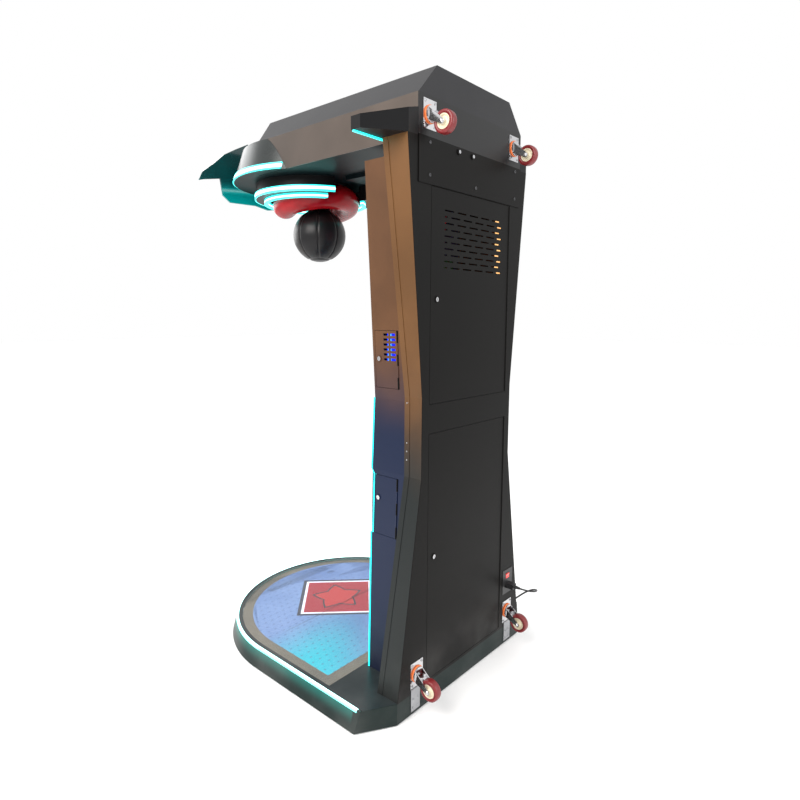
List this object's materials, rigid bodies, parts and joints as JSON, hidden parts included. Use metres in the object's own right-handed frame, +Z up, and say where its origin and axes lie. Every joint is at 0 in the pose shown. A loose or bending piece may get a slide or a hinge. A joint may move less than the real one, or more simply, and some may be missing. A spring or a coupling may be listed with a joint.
{
  "type": "boxing punch machine",
  "caption": "Free-standing arcade punch tester: a hanging ball on a pivoted arm under a hood, on a tall tower with a round-fronted lit platform.",
  "frame": {"origin": "on the floor, in the middle of the machine's footprint without its mains lead", "axes": "+Z up; +Y to the back, where the doors and casters are; the player stands at -Y; +X to the machine's left as seen from behind"},
  "size_m": [1.1805, 1.3426, 2.2],
  "materials": {
    "black_sheet": "satin black powder coat",
    "bronze_sheet": "satin bronze brown paint",
    "graphite_sheet": "satin graphite paint",
    "deck_paint": "fine textured graphite paint",
    "trim_metal": "brushed, warm tinted",
    "led_diffuser": "milky diffuser lit cyan",
    "clear_glass": "clear toughened glass",
    "print_film": "printed film, pale violet",
    "steel_frame": "matt black paint",
    "foot_rubber": "matt",
    "screen_face": "gloss black display",
    "red_button": "lit red dome",
    "coin_metal": "brushed",
    "speaker_mesh": "black mesh",
    "hinge_steel": "zinc plated",
    "lock_chrome": "polished",
    "zinc_sheet": "galvanised",
    "circuit_green": "solder mask",
    "teal_panel": "dark teal, moulded",
    "shaft_steel": "ground",
    "arm_black": "satin black",
    "dark_leather": "grained, semi-gloss",
    "red_vinyl": "glossy red vinyl",
    "fork_chrome": "bright zinc",
    "wheel_red": "polyurethane tread and cream hub",
    "screw_zinc": "zinc plated",
    "black_plastic": "moulded",
    "rocker_red": "lit red",
    "cord_jacket": "flexible sheath"
  },
  "bodies": {
    "cabinet": {"base_skirt": "graphite_sheet", "base_led_strip": "led_diffuser", "base_deck": "deck_paint", "floor_glass": "clear_glass", "floor_trim": "trim_metal", "floor_print": "print_film", "base_frame": "steel_frame", "levelling_feet": "foot_rubber", "tower_back_panel": "black_sheet", "pillars": "bronze_sheet", "display_housing": "graphite_sheet", "display_screen": "screen_face", "coin_mechanism": "coin_metal", "speakers": "speaker_mesh", "door_hinges": "hinge_steel", "cash_box": "zinc_sheet", "power_supply": "zinc_sheet", "control_board": "circuit_green", "hood_body": "black_sheet", "hood_nose": "graphite_sheet", "hood_cap": "graphite_sheet", "hood_underside": "black_sheet", "ring_drum": "graphite_sheet", "shoulder_wings": "graphite_sheet", "hood_leds": "led_diffuser", "header_sign": "teal_panel", "service_plate": "black_sheet", "pivot_bracket": "steel_frame", "bumper_cushion": "red_vinyl", "caster_mounts": "fork_chrome", "joining_straps": "zinc_sheet", "panel_screws": "screw_zinc", "power_inlet": "black_plastic", "inlet_plug": "black_plastic", "power_cord": "cord_jacket", "cord_coil": "cord_jacket", "wall_plug": "black_plastic"},
    "start_button": {"start_button": "red_button"},
    "upper_door": {"upper_door": "black_sheet"},
    "lower_door": {"lower_door": "black_sheet"},
    "upper_door_lock": {"upper_door_lock": "lock_chrome"},
    "lower_door_lock": {"lower_door_lock": "lock_chrome"},
    "service_door": {"service_door": "graphite_sheet"},
    "cash_door": {"cash_door": "graphite_sheet"},
    "service_door_lock": {"service_door_lock": "lock_chrome"},
    "cash_door_lock": {"cash_door_lock": "lock_chrome"},
    "test_button_left": {"test_button_left": "lock_chrome"},
    "test_button_right": {"test_button_right": "lock_chrome"},
    "punch_arm": {"pivot_shaft": "shaft_steel", "swing_arm": "arm_black", "punch_ball": "dark_leather"},
    "rocker_switch": {"rocker_switch": "rocker_red"},
    "caster_fork_top_left": {"caster_fork_top_left": "fork_chrome"},
    "caster_wheel_top_left": {"caster_wheel_top_left": "wheel_red"},
    "caster_fork_top_right": {"caster_fork_top_right": "fork_chrome"},
    "caster_wheel_top_right": {"caster_wheel_top_right": "wheel_red"},
    "caster_fork_bottom_left": {"caster_fork_bottom_left": "fork_chrome"},
    "caster_wheel_bottom_left": {"caster_wheel_bottom_left": "wheel_red"},
    "caster_fork_bottom_right": {"caster_fork_bottom_right": "fork_chrome"},
    "caster_wheel_bottom_right": {"caster_wheel_bottom_right": "wheel_red"}
  },
  "joints": [
    {"name": "punch_swing", "type": "hinge", "parent": "cabinet", "child": "punch_arm", "pos_m": [0, -0.27475, 2.06], "axis": [1, 0, 0], "range_deg": [0, 7]},
    {"name": "upper_door_hinge", "type": "hinge", "parent": "cabinet", "child": "upper_door", "pos_m": [-0.243, 0.56125, 1.4585], "axis": [0, 0, 1], "range_deg": [0, 100]},
    {"name": "lower_door_hinge", "type": "hinge", "parent": "cabinet", "child": "lower_door", "pos_m": [-0.243, 0.56125, 0.5425], "axis": [0, 0, 1], "range_deg": [0, 90]},
    {"name": "upper_door_lock_turn", "type": "hinge", "parent": "upper_door", "child": "upper_door_lock", "pos_m": [0.207, 0.56125, 1.453], "axis": [0, 1, 0], "range_deg": [0, 90]},
    {"name": "lower_door_lock_turn", "type": "hinge", "parent": "lower_door", "child": "lower_door_lock", "pos_m": [0.207, 0.56125, 0.546], "axis": [0, 1, 0], "range_deg": [0, 90]},
    {"name": "service_door_hinge", "type": "hinge", "parent": "cabinet", "child": "service_door", "pos_m": [0.26093, 0.43775, 1.139], "axis": [0.0495, 0, 0.9988], "range_deg": [0, 95]},
    {"name": "cash_door_hinge", "type": "hinge", "parent": "cabinet", "child": "cash_door", "pos_m": [0.28397, 0.44775, 0.601], "axis": [-0.0333, 0, 0.9994], "range_deg": [0, 95]},
    {"name": "service_door_lock_turn", "type": "hinge", "parent": "service_door", "child": "service_door_lock", "pos_m": [0.26613, 0.34725, 1.244], "axis": [1, 0, 0], "range_deg": [-90, 0]},
    {"name": "cash_door_lock_turn", "type": "hinge", "parent": "cash_door", "child": "cash_door_lock", "pos_m": [0.27947, 0.35625, 0.736], "axis": [1, 0, 0], "range_deg": [-90, 0]},
    {"name": "start_button_press", "type": "slide", "parent": "cabinet", "child": "start_button", "axis": [0, 1, 0], "range_m": [0, 0.005], "stiffness_N_per_m": 300},
    {"name": "test_button_left_press", "type": "slide", "parent": "cabinet", "child": "test_button_left", "axis": [0, -1, 0], "range_m": [0, 0.003], "stiffness_N_per_m": 300},
    {"name": "test_button_right_press", "type": "slide", "parent": "cabinet", "child": "test_button_right", "axis": [0, -1, 0], "range_m": [0, 0.003], "stiffness_N_per_m": 300},
    {"name": "rocker_switch_tilt", "type": "hinge", "parent": "cabinet", "child": "rocker_switch", "pos_m": [-0.303, 0.55725, 0.302], "axis": [1, 0, 0], "range_deg": [-8, 8]},
    {"name": "caster_swivel_top_left", "type": "hinge", "parent": "cabinet", "child": "caster_fork_top_left", "pos_m": [0.26, 0.57325, 2.038], "axis": [0, 1, 0], "continuous": true},
    {"name": "caster_roll_top_left", "type": "hinge", "parent": "caster_fork_top_left", "child": "caster_wheel_top_left", "pos_m": [0.26, 0.62625, 2.003], "axis": [1, 0, 0], "continuous": true},
    {"name": "caster_swivel_top_right", "type": "hinge", "parent": "cabinet", "child": "caster_fork_top_right", "pos_m": [-0.26, 0.57325, 2.038], "axis": [0, 1, 0], "continuous": true},
    {"name": "caster_roll_top_right", "type": "hinge", "parent": "caster_fork_top_right", "child": "caster_wheel_top_right", "pos_m": [-0.26, 0.62625, 2.003], "axis": [1, 0, 0], "continuous": true},
    {"name": "caster_swivel_bottom_left", "type": "hinge", "parent": "cabinet", "child": "caster_fork_bottom_left", "pos_m": [0.3, 0.57325, 0.148], "axis": [0, 1, 0], "continuous": true},
    {"name": "caster_roll_bottom_left", "type": "hinge", "parent": "caster_fork_bottom_left", "child": "caster_wheel_bottom_left", "pos_m": [0.3, 0.62625, 0.113], "axis": [1, 0, 0], "continuous": true},
    {"name": "caster_swivel_bottom_right", "type": "hinge", "parent": "cabinet", "child": "caster_fork_bottom_right", "pos_m": [-0.3, 0.57325, 0.148], "axis": [0, 1, 0], "continuous": true},
    {"name": "caster_roll_bottom_right", "type": "hinge", "parent": "caster_fork_bottom_right", "child": "caster_wheel_bottom_right", "pos_m": [-0.3, 0.62625, 0.113], "axis": [1, 0, 0], "continuous": true}
  ]
}
